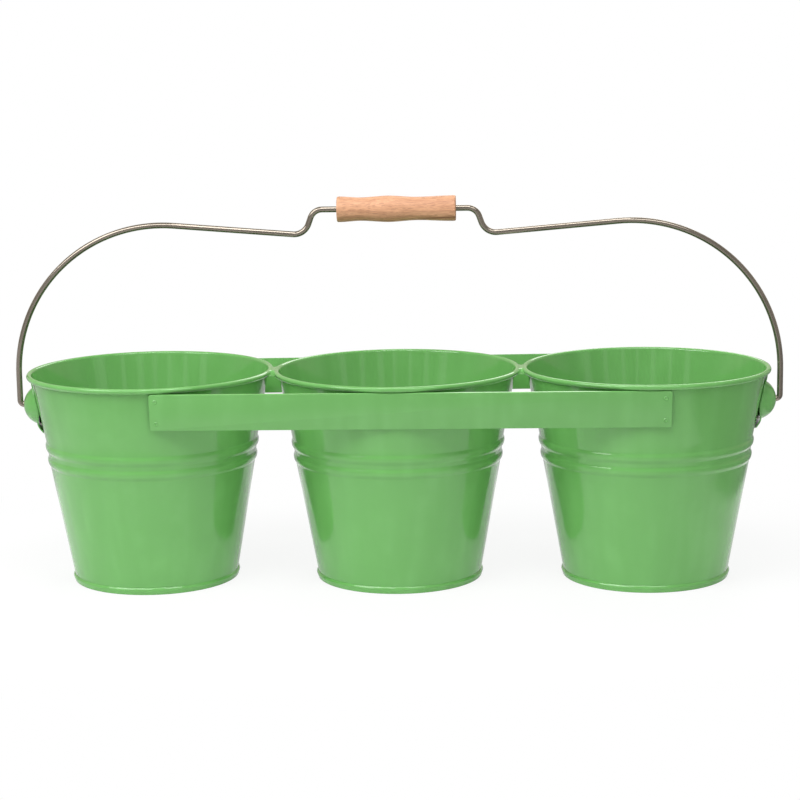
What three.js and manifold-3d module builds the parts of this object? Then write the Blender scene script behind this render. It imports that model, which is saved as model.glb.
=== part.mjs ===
// Row of three tapered steel plant pots with painted walls, joined at their rims and by
// two flat bars, and carried by a swinging wire bail with a turned wooden grip.
// Millimetres. +X runs along the row, -Y is the front, +Z is up.
// The origin is on the ground under the middle pot.

import * as THREE from 'three';
import { mergeVertices } from 'three/addons/utils/BufferGeometryUtils.js';
import Module from 'manifold-3d';

const wasm = await Module();
wasm.setup();

// Fits and facets
const seatGap = 0.3; // between pieces that touch on the real carrier
const potFacets = 36; // flats round a pot, a multiple of 4
const rollSteps = 8; // round the rolled rim's section
const domeFacets = 24;
const wireSides = 10;
const headSides = 16;
const bowSteps = 15;
const stepBendSteps = 6;
const legBendSteps = 5;
const gripFacets = 24;
const gripSteps = 12; // along the grip

// Pot
const potHeight = 129;
const rimRadius = 75; // outside of the rolled rim
const rollRadius = 1.6; // of the rolled rim's round section
const footRadius = 50.7; // outside of the folded foot, on the ground
const lowerWallSlope = 0.179; // growth of the radius with height, below the beads
const wallSheet = 0.6;
const rimGap = 0.9; // between neighbouring rims, filled by their joint

// Pressed beads round the wall
const lowerBeadHeight = 75.2; // above the ground
const beadSpacing = 8.6;
const beadWidth = 6;
const beadRise = 1;
const beadInset = 0.7; // of the wall above the beads from the line of the wall below

// Pot floor, whose folded edge clasps the wall
const floorSheet = 0.6;
const floorHeight = 5; // of its upper face above the ground
const lipHeight = 4.4;
const lipThickness = 0.8; // hemmed double
const lipRound = 0.4;

// Joint between two rims
const rimJointLength = 28; // along the contact, front to back
const rimJointDepth = 2.4;
const rimJointDrop = 0.4; // below the top of the rims

// Flat bars
const barLength = 302;
const barWidth = 22.3; // up the slope of the walls
const barThickness = 1.5;
const barCornerRadius = 1.5;
const frontBarShift = 9.8; // towards +X, as it was welded on
const rearBarShift = 0;
const frontBarTilt = 0; // degrees, positive with the right-hand end low
const rearBarTilt = -0.4;

// Ears on the outer pots
const hingeDrop = 21.2; // of the bail's axis below the top of the rims
const domeRadius = 12.6;
const domeProud = 3.6; // of the dome's crown past the rim
const earSheet = 0.8;
const earHalfWidth = 13.2;
const earTopDrop = 2.2; // below the rolled rim
const earUprightTop = 3.8; // below the axis, where the plate leaves the wall
const earUprightBottom = 11.3; // below the axis, where the tail turns in
const earTail = 18.1; // below the axis, where the tail ends on the wall

// Bail wire
const wireRadius = 1.8;
const hingeGap = 0.35; // round the wire in its holes
const legGap = 1; // between a leg and its dome
const legBendRadius = 2.6;
const headRadius = 3.2; // upset end that keeps the wire in its ear
const headLength = 2;
const headSetback = 4; // behind the inside of the dome's crown
const bowRadius = 90.5;
const bowRise = 87.8; // of the bow's crown above the rims
const handleRise = 96.3; // of the straight handle above the rims
const handleStep = 14.8; // from the handle down to the low bends
const stepBendRadius = 6.5;
const stepAngle = 62; // degrees

// Wooden grip
const gripLength = 71.5;
const gripPlay = 9.5; // from each end of the grip to its bend, when it is centred
const gripShift = 1.1; // towards +X, where it has slid to
const gripEndRadius = 7.7;
const gripWaistRadius = 7;
const gripBellyRadius = 7.9;
const gripEdge = 0.9; // rounding of its end edges
const leftWaistPlace = 14; // from the grip's left end
const bellyPlace = 31;
const rightWaistPlace = 48;
const boreGap = 0.35; // round the wire

// Colours and surfaces
const paint = { color: 0x6fb465, roughness: 0.32, metalness: 0.1 };
const bareWire = { color: 0x8c8578, roughness: 0.35, metalness: 0.9 };
const beech = { color: 0xddab84, roughness: 0.6, metalness: 0 };

// Derived sizes
const rollCentre = new THREE.Vector2(rimRadius - rollRadius, potHeight - rollRadius);
const rollUnderside = potHeight - 2 * rollRadius;
const wallFootRadius = footRadius - lipThickness - seatGap;
const wallTopRadius = rimRadius - 2 * rollRadius + wallSheet;
const beadsBottom = lowerBeadHeight - beadWidth / 2;
const beadsTop = lowerBeadHeight + beadSpacing + beadWidth / 2;
const shoulderRadius = wallFootRadius + lowerWallSlope * beadsTop - beadInset;
const upperWallSlope = (wallTopRadius - shoulderRadius) / (rollCentre.y - beadsTop);
const taper = Math.atan(upperWallSlope);
const pitch = 2 * rimRadius + rimGap;
const wallBottom = floorSheet + seatGap;
const hingeHeight = potHeight - hingeDrop;
const domeCrown = pitch + rimRadius + domeProud;
const domeCentre = domeCrown - domeRadius;
const legPlace = domeCrown + legGap + wireRadius;
const handleHeight = potHeight + handleRise;
const handleHalf = gripLength / 2 + gripPlay;

// Outer radius of the plain wall at a height
function wallRadius(height) {
  if (height >= beadsTop) return shoulderRadius + upperWallSlope * (height - beadsTop);
  const share = Math.max(height - beadsBottom, 0) / (beadsTop - beadsBottom);
  return wallFootRadius + lowerWallSlope * height - beadInset * share;
}

// Closed body from a three.js geometry, for joining and cutting
function solidFrom(geometry) {
  const bare = geometry.clone();
  bare.deleteAttribute('normal');
  bare.deleteAttribute('uv');
  const merged = mergeVertices(bare, 1e-4);
  return new wasm.Manifold(
    new wasm.Mesh({
      numProp: 3,
      vertProperties: new Float32Array(merged.attributes.position.array),
      triVerts: new Uint32Array(merged.index.array),
    }),
  );
}

// three.js geometry from a joined or cut body
function geometryFrom(solid) {
  const { vertProperties, triVerts } = solid.getMesh();
  const geometry = new THREE.BufferGeometry();
  geometry.setAttribute('position', new THREE.BufferAttribute(vertProperties, 3));
  geometry.setIndex(new THREE.BufferAttribute(triVerts, 1));
  geometry.computeVertexNormals();
  return geometry;
}

// Named mesh with its own material
function piece(name, geometry, surface) {
  const mesh = new THREE.Mesh(geometry, new THREE.MeshStandardMaterial(surface));
  mesh.name = name;
  return mesh;
}

// Body turned about a vertical axis, from its section in radius and height
function turned(section) {
  const geometry = new THREE.LatheGeometry(section, potFacets);
  geometry.rotateX(Math.PI / 2);
  return geometry;
}

// Section points of one bead, upwards, set in from the wall's outer face
function beadSection(middle, inset) {
  const steps = [-1, -0.5, 0, 0.5, 1];
  return steps.map((step) => {
    const height = middle + (step * beadWidth) / 2;
    const rise = (beadRise * (1 + Math.cos(Math.PI * step))) / 2;
    return new THREE.Vector2(wallRadius(height) + rise - inset, height);
  });
}

// Section points of one face of the wall, upwards from its lower edge
function wallFace(inset) {
  return [
    new THREE.Vector2(wallRadius(wallBottom) - inset, wallBottom),
    ...beadSection(lowerBeadHeight, inset),
    ...beadSection(lowerBeadHeight + beadSpacing, inset),
  ];
}

// Section points of the rolled rim, from the wall's outer face over to its inner face
function rollSection() {
  const reach = wallTopRadius - rollCentre.x;
  const start = -Math.PI / 2 - Math.asin(-reach / rollRadius);
  const points = [];
  for (let index = 0; index <= rollSteps; index += 1) {
    const angle = THREE.MathUtils.lerp(start, Math.PI, index / rollSteps);
    const offset = new THREE.Vector2(Math.cos(angle), Math.sin(angle));
    points.push(offset.multiplyScalar(rollRadius).add(rollCentre));
  }
  return points;
}

// Tapered sheet wall with its beads and rolled rim
function potWall() {
  const section = [...wallFace(0), ...rollSection(), ...wallFace(wallSheet).reverse()];
  section.push(section[0].clone());
  return turned(section);
}

// Raised floor disc whose edge folds down, under and up round the wall
function potFloor() {
  const flangeOuter = (height) => wallRadius(height) - wallSheet - seatGap;
  const lipInner = (height) => wallRadius(height) + seatGap;
  const lipOuter = (height) => lipInner(height) + lipThickness;
  const underside = floorHeight - floorSheet;
  const section = [
    [0, underside],
    [flangeOuter(underside) - floorSheet, underside],
    [flangeOuter(0) - floorSheet, 0],
    [lipOuter(0) - lipRound, 0],
    [lipOuter(lipRound), lipRound],
    [lipOuter(lipHeight - lipRound), lipHeight - lipRound],
    [lipInner(lipHeight) + lipRound, lipHeight],
    [lipInner(lipHeight), lipHeight],
    [lipInner(floorSheet), floorSheet],
    [flangeOuter(floorSheet), floorSheet],
    [flangeOuter(floorHeight), floorHeight],
    [0, floorHeight],
  ];
  return turned(section.map(([radius, height]) => new THREE.Vector2(radius, height)));
}

// Web of metal in the groove between two rims, centred between them
function rimJoint() {
  const reach = 2 * rollRadius + rimGap;
  const block = new THREE.BoxGeometry(reach, rimJointLength, rimJointDepth);
  block.translate(0, 0, potHeight - rimJointDrop - rimJointDepth / 2);
  let web = solidFrom(block);
  for (const side of [-1, 1]) {
    const section = rollRadius + seatGap;
    const rim = new THREE.TorusGeometry(rollCentre.x, section, 2 * rollSteps, potFacets);
    rim.translate((side * pitch) / 2, 0, rollCentre.y);
    web = web.subtract(solidFrom(rim));
  }
  return geometryFrom(web);
}

// Flat bar with rounded corners, lying in the X-Z plane about its own middle
function flatBar() {
  const halfLength = barLength / 2;
  const halfWidth = barWidth / 2;
  const outline = new THREE.Shape();
  const corners = [
    [halfLength, halfWidth, 0],
    [-halfLength, halfWidth, 1],
    [-halfLength, -halfWidth, 2],
    [halfLength, -halfWidth, 3],
  ];
  for (const [x, z, quarter] of corners) {
    const centreX = x - Math.sign(x) * barCornerRadius;
    const centreZ = z - Math.sign(z) * barCornerRadius;
    const start = (quarter * Math.PI) / 2;
    outline.absarc(centreX, centreZ, barCornerRadius, start, start + Math.PI / 2, false);
  }
  const geometry = new THREE.ExtrudeGeometry(outline, {
    depth: barThickness,
    bevelEnabled: false,
    curveSegments: 3,
  });
  geometry.rotateX(Math.PI / 2);
  geometry.translate(0, barThickness / 2, 0);
  return geometry;
}

// Bar laid flat against the slope of the three walls, on the front (-1) or rear (1) side,
// with its higher end close under the rims
function placedBar(name, side, shift, tilt) {
  const bar = piece(name, flatBar(), paint);
  const turn = THREE.MathUtils.degToRad(tilt);
  const rise = (Math.cos(turn) * barWidth + Math.sin(Math.abs(turn)) * barLength) / 2;
  const standOff = seatGap + barThickness / 2;
  const topHeight = rollUnderside - seatGap;
  const middle = topHeight - Math.cos(taper) * rise + Math.sin(taper) * standOff;
  const reach = wallRadius(middle) + Math.cos(taper) * standOff;
  bar.position.set(shift, side * reach, middle - Math.sin(taper) * standOff);
  bar.rotation.set(-side * taper, turn, 0);
  return bar;
}

// Prism along Y from an outline in X and Z
function prismAlongY(outline, halfLength) {
  const geometry = new THREE.ExtrudeGeometry(outline, {
    depth: 2 * halfLength,
    bevelEnabled: false,
  });
  geometry.rotateX(Math.PI / 2);
  geometry.translate(0, halfLength, 0);
  return geometry;
}

// Pressed ear of the right-hand pot: a plate down its wall with a hollow dome and a hole
function pressedEar() {
  const face = (height) => pitch + wallRadius(height) + seatGap;
  const top = rollUnderside - earTopDrop;
  const uprightTop = hingeHeight - earUprightTop;
  const uprightBottom = hingeHeight - earUprightBottom;
  const tailEnd = hingeHeight - earTail;
  const back = [
    [face(tailEnd), tailEnd],
    [face(uprightTop), uprightBottom],
    [face(uprightTop), uprightTop],
    [face(top), top],
  ];
  const front = back.map(([x, z]) => [x + earSheet, z]).reverse();
  const beyond = [
    [domeCrown + domeRadius, top],
    [domeCrown + domeRadius, tailEnd],
  ];
  const outlineOf = (points) => new THREE.Shape(points.map(([x, z]) => new THREE.Vector2(x, z)));
  const strip = solidFrom(prismAlongY(outlineOf([...back, ...front]), earHalfWidth));
  const outside = solidFrom(prismAlongY(outlineOf([...back, ...beyond]), earHalfWidth));

  const oval = new THREE.Shape();
  oval.absarc(0, top - earHalfWidth, earHalfWidth, 0, Math.PI, false);
  oval.absarc(0, tailEnd + earHalfWidth, earHalfWidth, Math.PI, 2 * Math.PI, false);
  const blank = new THREE.ExtrudeGeometry(oval, {
    depth: domeCrown + domeRadius,
    bevelEnabled: false,
    curveSegments: 10,
  });
  blank.applyMatrix4(
    new THREE.Matrix4().makeBasis(
      new THREE.Vector3(0, 1, 0),
      new THREE.Vector3(0, 0, 1),
      new THREE.Vector3(1, 0, 0),
    ),
  );

  const ball = (radius) => {
    const geometry = new THREE.SphereGeometry(radius, domeFacets, domeFacets / 2);
    geometry.rotateZ(Math.PI / 2);
    geometry.translate(domeCentre, 0, hingeHeight);
    return solidFrom(geometry);
  };
  const hole = new THREE.CylinderGeometry(
    wireRadius + hingeGap,
    wireRadius + hingeGap,
    domeRadius,
    domeFacets,
  );
  hole.rotateZ(Math.PI / 2);
  hole.translate(domeCrown, 0, hingeHeight);
  const shell = ball(domeRadius).intersect(outside);
  const plate = strip.intersect(solidFrom(blank));
  return plate.add(shell).subtract(ball(domeRadius - earSheet)).subtract(solidFrom(hole));
}

// Path of a bent wire in the X-Z plane, with a station at each end and along each bend
class WirePath extends THREE.Curve {
  constructor(start, heading) {
    super();
    this.stations = [{ place: start.clone(), heading }];
  }

  get last() {
    return this.stations[this.stations.length - 1];
  }

  static along(heading) {
    return new THREE.Vector3(Math.cos(heading), 0, Math.sin(heading));
  }

  straight(length) {
    const { place, heading } = this.last;
    const next = place.clone().addScaledVector(WirePath.along(heading), length);
    this.stations.push({ place: next, heading });
    return this;
  }

  bend(radius, turn, steps) {
    const { place, heading } = this.last;
    const side = Math.sign(turn);
    const across = WirePath.along(heading + (side * Math.PI) / 2);
    const centre = place.clone().addScaledVector(across, radius);
    for (let index = 1; index <= steps; index += 1) {
      const next = heading + (turn * index) / steps;
      const back = WirePath.along(next - (side * Math.PI) / 2);
      this.stations.push({ place: centre.clone().addScaledVector(back, radius), heading: next });
    }
    return this;
  }

  getPoint(fraction, target = new THREE.Vector3()) {
    const scaled = fraction * (this.stations.length - 1);
    const index = Math.min(Math.floor(scaled), this.stations.length - 2);
    const from = this.stations[index].place;
    const to = this.stations[index + 1].place;
    return target.lerpVectors(from, to, scaled - index);
  }

  getPointAt(fraction, target) {
    return this.getPoint(fraction, target);
  }

  getTangentAt(fraction) {
    const index = Math.round(fraction * (this.stations.length - 1));
    return WirePath.along(this.stations[index].heading);
  }
}

// One half of the bail's path, from the middle of the handle out to its right-hand end
function halfBail() {
  const step = THREE.MathUtils.degToRad(stepAngle);
  const stepDrop = 2 * stepBendRadius * (1 - Math.cos(step));
  const link = (handleStep - stepDrop) / Math.sin(step);
  const path = new WirePath(new THREE.Vector3(0, 0, handleHeight), 0);
  path.straight(handleHalf).bend(stepBendRadius, -step, stepBendSteps).straight(link);

  // The low bend and the bow share one tangent line
  const across = WirePath.along(path.last.heading + Math.PI / 2);
  const lowCentre = path.last.place.clone().addScaledVector(across, stepBendRadius);
  const bowCentre = new THREE.Vector3(legPlace - bowRadius, 0, potHeight + bowRise - bowRadius);
  const gap = bowCentre.clone().sub(lowCentre);
  const lean = Math.asin((stepBendRadius + bowRadius) / gap.length());
  const rise = Math.atan2(gap.z, gap.x) + lean;
  path.bend(stepBendRadius, rise + step, stepBendSteps);
  path.straight(gap.length() * Math.cos(lean));
  path.bend(bowRadius, -rise - Math.PI / 2, bowSteps);

  const legLength = path.last.place.z - hingeHeight - legBendRadius;
  const headPlace = domeCrown - earSheet - headSetback;
  path.straight(legLength).bend(legBendRadius, -Math.PI / 2, legBendSteps);
  path.straight(path.last.place.x - headPlace);
  return path;
}

// Whole bail: the right half and its mirror image, in one sweep
function wholeBail() {
  const right = halfBail().stations;
  const left = right.slice(1).map(({ place, heading }) => ({
    place: new THREE.Vector3(-place.x, 0, place.z),
    heading: -heading,
  }));
  const path = new WirePath(right[0].place, 0);
  path.stations = [...left.reverse(), ...right.slice(1)];
  return path;
}

// Round wire bent to the bail's path, with an upset head inside each ear
function bailWire() {
  const path = wholeBail();
  const section = new THREE.Shape();
  for (let index = 0; index < wireSides; index += 1) {
    const angle = (2 * Math.PI * (index + 0.5)) / wireSides;
    const corner = [wireRadius * Math.cos(angle), wireRadius * Math.sin(angle)];
    if (index === 0) section.moveTo(...corner);
    else section.lineTo(...corner);
  }
  section.closePath();
  const sweep = new THREE.ExtrudeGeometry(section, {
    steps: path.stations.length - 1,
    extrudePath: path,
  });
  let wire = solidFrom(sweep);
  for (const side of [-1, 1]) {
    const head = new THREE.CylinderGeometry(headRadius, headRadius, headLength, headSides);
    head.rotateZ(Math.PI / 2);
    head.translate(side * (domeCrown - earSheet - headSetback), 0, hingeHeight);
    wire = wire.add(solidFrom(head));
  }
  return geometryFrom(wire);
}

// Turned grip with two waists and a belly, bored through for the wire
function woodenGrip() {
  const half = gripLength / 2;
  const bore = wireRadius + boreGap;
  const outline = new THREE.SplineCurve([
    new THREE.Vector2(gripEndRadius, -half + gripEdge),
    new THREE.Vector2(gripWaistRadius, -half + leftWaistPlace),
    new THREE.Vector2(gripBellyRadius, -half + bellyPlace),
    new THREE.Vector2(gripWaistRadius, -half + rightWaistPlace),
    new THREE.Vector2(gripEndRadius, half - gripEdge),
  ]);
  const section = [
    new THREE.Vector2(bore, -half),
    new THREE.Vector2(gripEndRadius - gripEdge, -half),
    ...outline.getPoints(gripSteps),
    new THREE.Vector2(gripEndRadius - gripEdge, half),
    new THREE.Vector2(bore, half),
    new THREE.Vector2(bore, -half),
  ];
  const geometry = new THREE.LatheGeometry(section, gripFacets);
  geometry.rotateZ(-Math.PI / 2);
  geometry.translate(gripShift, 0, handleHeight);
  return geometry;
}

const carrier = new THREE.Group();

// Pots, each a wall and the floor that clasps it
for (const [place, name] of ['left', 'middle', 'right'].entries()) {
  const pot = new THREE.Group();
  pot.position.x = (place - 1) * pitch;
  pot.add(piece(`${name}_pot_wall`, potWall(), paint));
  pot.add(piece(`${name}_pot_floor`, potFloor(), paint));
  carrier.add(pot);
}

// Joints between neighbouring rims
for (const [name, side] of [['left_rim_joint', -1], ['right_rim_joint', 1]]) {
  const joint = piece(name, rimJoint(), paint);
  joint.position.x = (side * pitch) / 2;
  carrier.add(joint);
}

// Bars across the three pots
carrier.add(placedBar('front_bar', -1, frontBarShift, frontBarTilt));
carrier.add(placedBar('rear_bar', 1, rearBarShift, rearBarTilt));

// Ears, the left one turned half round
for (const [name, turn] of [['right_ear', 0], ['left_ear', Math.PI]]) {
  const ear = piece(name, geometryFrom(pressedEar()), paint);
  ear.rotation.z = turn;
  carrier.add(ear);
}

// Bail and grip
carrier.add(piece('bail_wire', bailWire(), bareWire));
carrier.add(piece('wooden_grip', woodenGrip(), beech));

export default carrier;
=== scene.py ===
"""Finished look of a row of three painted steel plant pots with a swinging wire bail.

Metres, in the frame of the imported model: +X runs along the row, -Y is the front and
+Z is up, with the origin on the ground under the middle pot.
"""

import logging
import math
from collections.abc import Callable
from dataclasses import dataclass, field
from enum import Enum

import bmesh
import bpy
from bmesh.types import BMEdge, BMesh, BMVert
from bpy.types import Material, Mesh, Node, NodeSocket, NodeTree, Object
from mathutils import Matrix, Vector, noise


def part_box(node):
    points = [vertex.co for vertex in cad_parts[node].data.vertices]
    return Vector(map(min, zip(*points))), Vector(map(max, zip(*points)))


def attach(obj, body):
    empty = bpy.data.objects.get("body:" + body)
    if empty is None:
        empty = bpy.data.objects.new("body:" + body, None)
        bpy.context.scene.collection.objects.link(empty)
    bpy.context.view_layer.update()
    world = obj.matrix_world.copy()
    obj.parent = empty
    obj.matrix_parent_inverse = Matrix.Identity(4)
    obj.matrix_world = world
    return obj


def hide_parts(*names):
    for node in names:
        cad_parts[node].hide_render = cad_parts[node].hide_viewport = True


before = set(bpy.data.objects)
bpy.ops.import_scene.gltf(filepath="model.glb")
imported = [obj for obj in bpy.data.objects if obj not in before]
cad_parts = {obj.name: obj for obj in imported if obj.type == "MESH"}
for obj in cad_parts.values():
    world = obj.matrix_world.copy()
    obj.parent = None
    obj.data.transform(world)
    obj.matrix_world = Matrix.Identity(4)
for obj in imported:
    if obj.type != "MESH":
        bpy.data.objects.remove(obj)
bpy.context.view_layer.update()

MM = 0.001
WELD = 1e-6
FLOW = "flow"
WHITE = (1, 1, 1, 1)
LOG = logging.getLogger("pot_carrier")

Colour = tuple[float, float, float, float]
Triple = tuple[float, float, float]
Span = tuple[float, float]


class Body(Enum):
    """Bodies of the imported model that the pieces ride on."""

    PLANTER = "planter"
    BAIL = "bail"
    GRIP = "grip"


class Slot(Enum):
    """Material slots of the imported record."""

    PAINT = "paint"
    WIRE = "wire"
    WOOD = "wood"


class Side(Enum):
    """The two ends of the row, as signs along X."""

    LEFT = -1
    RIGHT = 1


class Face(Enum):
    """The two long sides of the row, as signs along Y."""

    FRONT = -1
    REAR = 1


def around_y(angle: float) -> Vector:
    """Unit vector in the X-Z plane, at an angle from +X towards +Z."""
    return Vector((math.cos(angle), 0, math.sin(angle)))


def around_z(angle: float) -> Vector:
    """Unit vector in the X-Y plane, at an angle from +X towards +Y."""
    return Vector((math.cos(angle), math.sin(angle), 0))


def arc(centre: Span, radius: float, start: float, end: float, steps: int) -> list[Vector]:
    """Lists the points of an arc in the X-Z plane, both ends included.

    Args:
        centre: Its centre, as X and Z.
        radius: Its radius.
        start: Angle of the first point in degrees, from +X towards +Z.
        end: Angle of the last point in degrees.
        steps: Number of chords.

    Returns:
        The points in order.
    """
    middle = Vector((centre[0], 0, centre[1]))
    angles = (start + (end - start) * index / steps for index in range(steps + 1))
    return [middle + around_y(math.radians(angle)) * radius for angle in angles]


def smooth_step(low: float, high: float, value: float) -> float:
    """Rises smoothly from 0 at low to 1 at high."""
    share = min(max((value - low) / (high - low), 0), 1)
    return share * share * (3 - 2 * share)


def turned(section: list[Vector], axis: Triple, steps: int, closed: bool) -> BMesh:
    """Turns a section about an axis through the origin into a solid.

    Args:
        section: Points of the section in order.
        axis: Direction of the axis.
        steps: Number of steps round.
        closed: Whether the last point joins the first.

    Returns:
        The mesh, with its seam and poles merged.
    """
    mesh = bmesh.new()
    corners = [mesh.verts.new(point) for point in section]
    followers = corners[1:] + corners[:1] if closed else corners[1:]
    for corner, follower in zip(corners, followers):
        mesh.edges.new((corner, follower))
    blank = mesh.verts[:] + mesh.edges[:]
    bmesh.ops.spin(mesh, geom=blank, axis=axis, angle=2 * math.pi, steps=steps, use_merge=True)
    bmesh.ops.remove_doubles(mesh, verts=mesh.verts[:], dist=WELD)
    return mesh


def grown(mesh: BMesh, front: list[BMEdge]) -> tuple[list[BMVert], list[BMEdge]]:
    """Extrudes a ring of open edges, still in its place.

    Args:
        mesh: The mesh.
        front: Its open edges.

    Returns:
        The new ring's vertices and its open edges.
    """
    made = bmesh.ops.extrude_edge_only(mesh, edges=front)["geom"]
    edges = [item for item in made if isinstance(item, BMEdge)]
    ring = [item for item in made if isinstance(item, BMVert)]
    return ring, [edge for edge in edges if edge.is_boundary]


def store_flow(mesh: BMesh, rule: Callable[[Vector], Vector]) -> None:
    """Stores where each vertex looks up its streaks.

    Args:
        mesh: The mesh.
        rule: Gives the place in the streak pattern for a vertex's own place.
    """
    layer = mesh.verts.layers.float_vector.new(FLOW)
    for vertex in mesh.verts:
        vertex[layer] = rule(vertex.co)


def baked(mesh: BMesh, name: str) -> Mesh:
    """Turns a working mesh into mesh data of that name and frees it.

    Args:
        mesh: The working mesh.
        name: Name of the data.

    Returns:
        The data.
    """
    data = bpy.data.meshes.new(name)
    mesh.to_mesh(data)
    mesh.free()
    return data


def linked(name: str, data: bpy.types.ID) -> Object:
    """Adds an object with that name and data to the scene.

    Args:
        name: The object's name.
        data: Its mesh, light or camera.

    Returns:
        The object.
    """
    made = bpy.data.objects.new(name, data)
    bpy.context.scene.collection.objects.link(made)
    return made


@dataclass(frozen=True)
class Tag:
    """What a finished piece is called, rides on, is painted with and stands for."""

    name: str
    body: Body
    slot: Slot
    nodes: tuple[str, ...]

    def apply(
        self, mesh: BMesh, material: Material, sharp: float = 40, outward: bool = True
    ) -> Object:
        """Makes the finished object from its mesh.

        Args:
            mesh: The mesh in its place. It is freed.
            material: The finish.
            sharp: Angle in degrees past which an edge stays sharp.
            outward: Whether the normals are worked out again.

        Returns:
            The object, riding on its body.
        """
        if outward:
            bmesh.ops.recalc_face_normals(mesh, faces=mesh.faces[:])
        data = baked(mesh, self.name)
        data.shade_smooth()
        data.set_sharp_from_angle(angle=math.radians(sharp))
        data.materials.append(material)
        piece = linked(self.name, data)
        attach(piece, self.body.value)
        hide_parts(*self.nodes)
        LOG.info("%s: %d faces", self.name, len(data.polygons))
        return piece


class NodeBench:
    """Adds and joins the nodes of one material, group or world."""

    def __init__(self, tree: NodeTree) -> None:
        """Keeps the tree to work on."""
        self.tree = tree

    def feed(self, sockets: object, values: dict) -> None:
        """Fills sockets.

        Args:
            sockets: The sockets by name or number.
            values: For some of them, a value or the output that feeds it.
        """
        for name, value in values.items():
            if isinstance(value, NodeSocket):
                self.tree.links.new(value, sockets[name])
            else:
                sockets[name].default_value = value

    def add(self, kind: str, inputs: dict | None = None, **settings: object) -> Node:
        """Adds a node.

        Args:
            kind: Its type name.
            inputs: Sockets by name or number, each with a value or the output that feeds it.
            settings: Properties of the node.

        Returns:
            The node.
        """
        node = self.tree.nodes.new(kind)
        for name, value in settings.items():
            setattr(node, name, value)
        self.feed(node.inputs, inputs or {})
        return node

    def place(self) -> NodeSocket:
        """Returns the object's own coordinates."""
        return self.add("ShaderNodeTexCoord").outputs["Object"]

    def flow(self) -> NodeSocket:
        """Returns the place in the streak pattern that the piece stores."""
        return self.add("ShaderNodeAttribute", attribute_name=FLOW).outputs["Vector"]

    def parts(self, vector: object) -> object:
        """Splits a vector and returns the outputs X, Y and Z."""
        return self.add("ShaderNodeSeparateXYZ", {0: vector}).outputs

    def math(self, operation: str, first: object, *others: object) -> NodeSocket:
        """Joins values from left to right with Math nodes.

        Args:
            operation: What each node does.
            first: The first value or output.
            others: The values or outputs that follow.

        Returns:
            The last result.
        """
        for other in others or (0.0,):
            inputs = {0: first, 1: other}
            first = self.add("ShaderNodeMath", inputs, operation=operation).outputs[0]
        return first

    def total(self, values: tuple, shares: tuple) -> NodeSocket:
        """Adds up values, each times its own share, and returns the sum."""
        scaled = [self.math("MULTIPLY", value, share) for value, share in zip(values, shares)]
        return self.math("ADD", *scaled)

    def vector(self, operation: str, inputs: dict) -> NodeSocket:
        """Adds a Vector Math node and returns its vector, or the length if it asks for that."""
        node = self.add("ShaderNodeVectorMath", inputs, operation=operation)
        return node.outputs["Value" if operation == "LENGTH" else "Vector"]

    def ranged(self, value: object, span: Span, to: Span = (0, 1)) -> NodeSocket:
        """Maps a value smoothly from one range onto another.

        Args:
            value: The value's output.
            span: Values that give the two ends.
            to: Both ends of the new range.

        Returns:
            The mapped value's output.
        """
        names = ("Value", "From Min", "From Max", "To Min", "To Max")
        inputs = dict(zip(names, (value, *span, *to)))
        node = self.add("ShaderNodeMapRange", inputs, interpolation_type="SMOOTHSTEP")
        return node.outputs["Result"]

    def blend(self, share: object, first: object, second: object) -> NodeSocket:
        """Mixes two colours and returns the result."""
        inputs = {"Factor": share, 6: first, 7: second}
        return self.add("ShaderNodeMix", inputs, data_type="RGBA").outputs[2]

    def mapped(self, vector: object, scale: Triple, place: Triple = (0, 0, 0)) -> NodeSocket:
        """Scales and shifts coordinates with a Mapping node."""
        inputs = {"Vector": vector, "Scale": scale, "Location": place}
        return self.add("ShaderNodeMapping", inputs).outputs[0]

    def cloud(self, vector: object, scale: object, detail: float) -> dict:
        """Adds a noise texture and returns its outputs."""
        inputs = {"Vector": vector, "Scale": scale, "Detail": detail}
        return self.add("ShaderNodeTexNoise", inputs).outputs

    def bump(self, height: object, depth: float, **others: object) -> NodeSocket:
        """Raises the surface by a height up to a depth and returns the normal."""
        inputs = {"Height": height, "Distance": depth, **others}
        return self.add("ShaderNodeBump", inputs).outputs["Normal"]

    def rays(self) -> tuple[NodeSocket, NodeSocket]:
        """Returns 1 where the camera looks straight at a surface, and 1 where a mirror does."""
        path = self.add("ShaderNodeLightPath").outputs
        clear = self.math("MAXIMUM", path["Is Camera Ray"], path["Is Transmission Ray"])
        return clear, path["Is Glossy Ray"]

    def group(self, made: NodeTree, vector: object, scale: float, **others: float) -> object:
        """Places one of the shared groups.

        Args:
            made: The group.
            vector: Coordinates that it reads.
            scale: Its scale.
            others: Its other inputs by name.

        Returns:
            Its outputs by name.
        """
        inputs = {"Vector": vector, "Scale": scale, **others}
        return self.add("ShaderNodeGroup", inputs, node_tree=made).outputs


def new_group(name: str, extra: tuple = (), results: tuple = ("Value",)) -> tuple:
    """Starts a shader group that reads a vector, a scale and other numbers.

    Args:
        name: Its name.
        extra: Names of the other numbers.
        results: Names of its value outputs.

    Returns:
        The bench, the group's inputs by name, and the sockets of its results by name.
    """
    tree = bpy.data.node_groups.new(name, "ShaderNodeTree")
    kinds = {"Vector": "NodeSocketVector", **dict.fromkeys(("Scale", *extra), "NodeSocketFloat")}
    for label, kind in kinds.items():
        tree.interface.new_socket(label, in_out="INPUT", socket_type=kind)
    for label in results:
        tree.interface.new_socket(label, in_out="OUTPUT", socket_type="NodeSocketFloat")
    bench = NodeBench(tree)
    return bench, bench.add("NodeGroupInput").outputs, bench.add("NodeGroupOutput").inputs


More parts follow.
